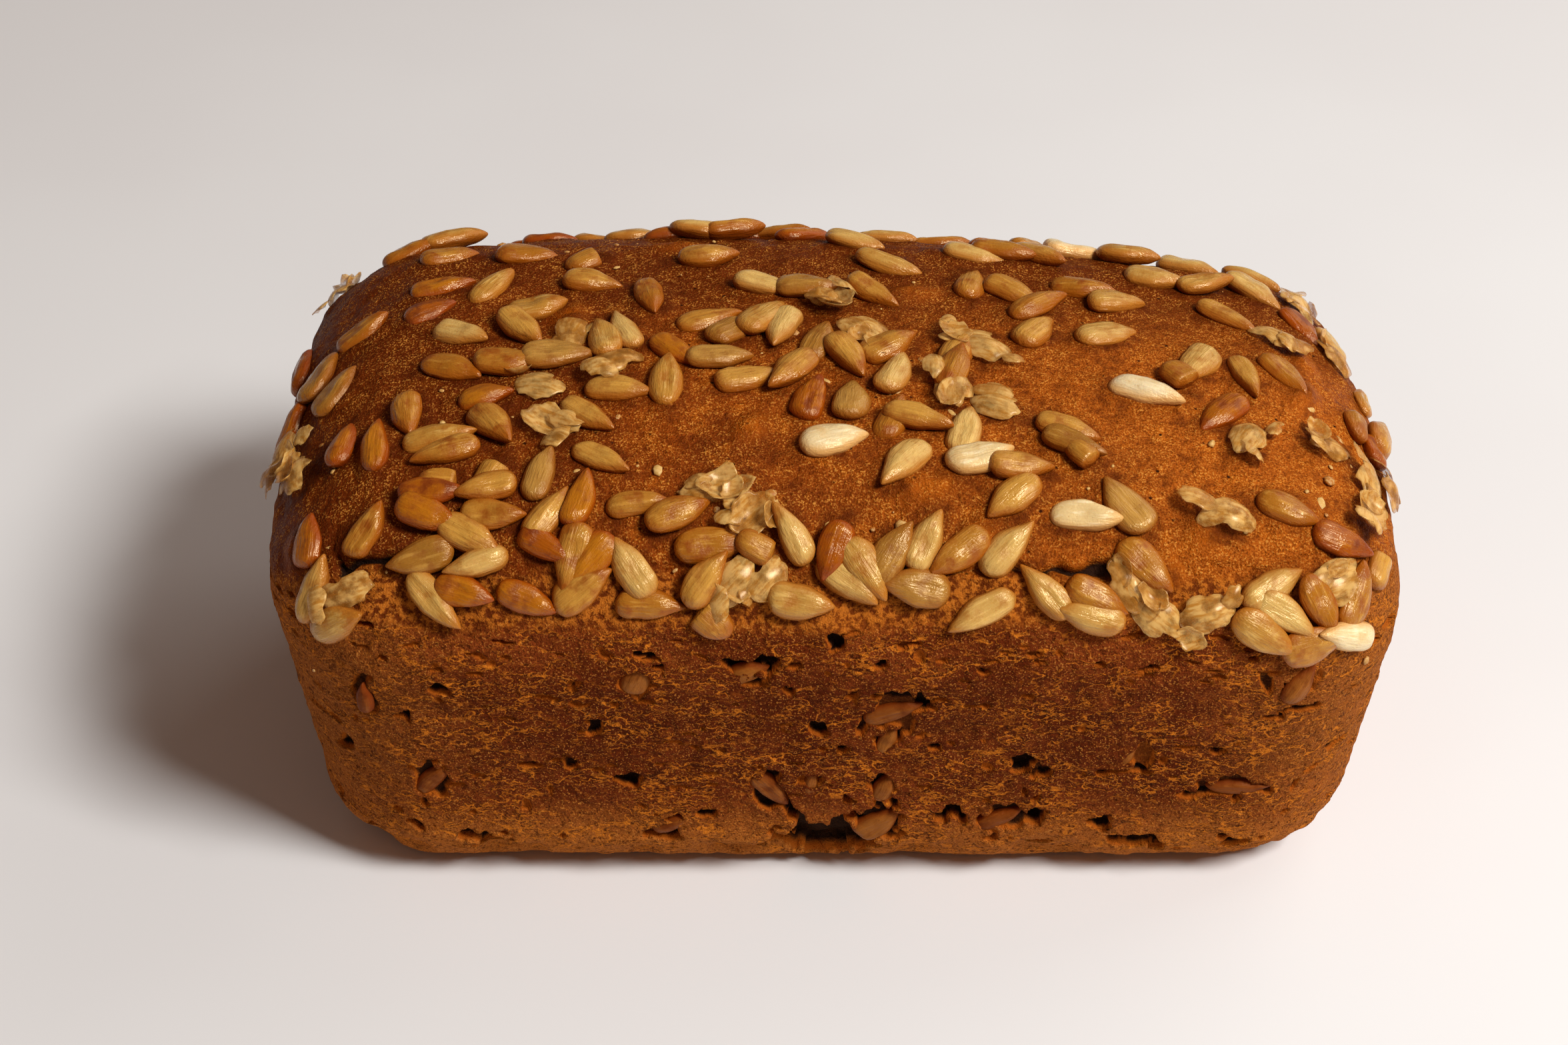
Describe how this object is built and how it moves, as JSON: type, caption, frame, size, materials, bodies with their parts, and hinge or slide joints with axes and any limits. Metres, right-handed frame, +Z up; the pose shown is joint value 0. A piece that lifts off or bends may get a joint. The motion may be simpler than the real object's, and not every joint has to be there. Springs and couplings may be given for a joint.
{
  "type": "sunflower seed bread",
  "caption": "Small tin loaf of dark seeded bread with a domed crust strewn with sunflower kernels, lying on its flat base.",
  "frame": {"origin": "middle of the flat base, on the surface that the loaf lies on", "axes": "+X along the loaf, towards its right-hand end as pictured; +Y from the front to the back; +Z up"},
  "size_m": [0.1751, 0.1029, 0.077],
  "materials": {
    "baked_crust": "dry matte crust, reddish brown"
  },
  "bodies": {
    "root": {"loaf": "baked_crust"}
  },
  "joints": []
}
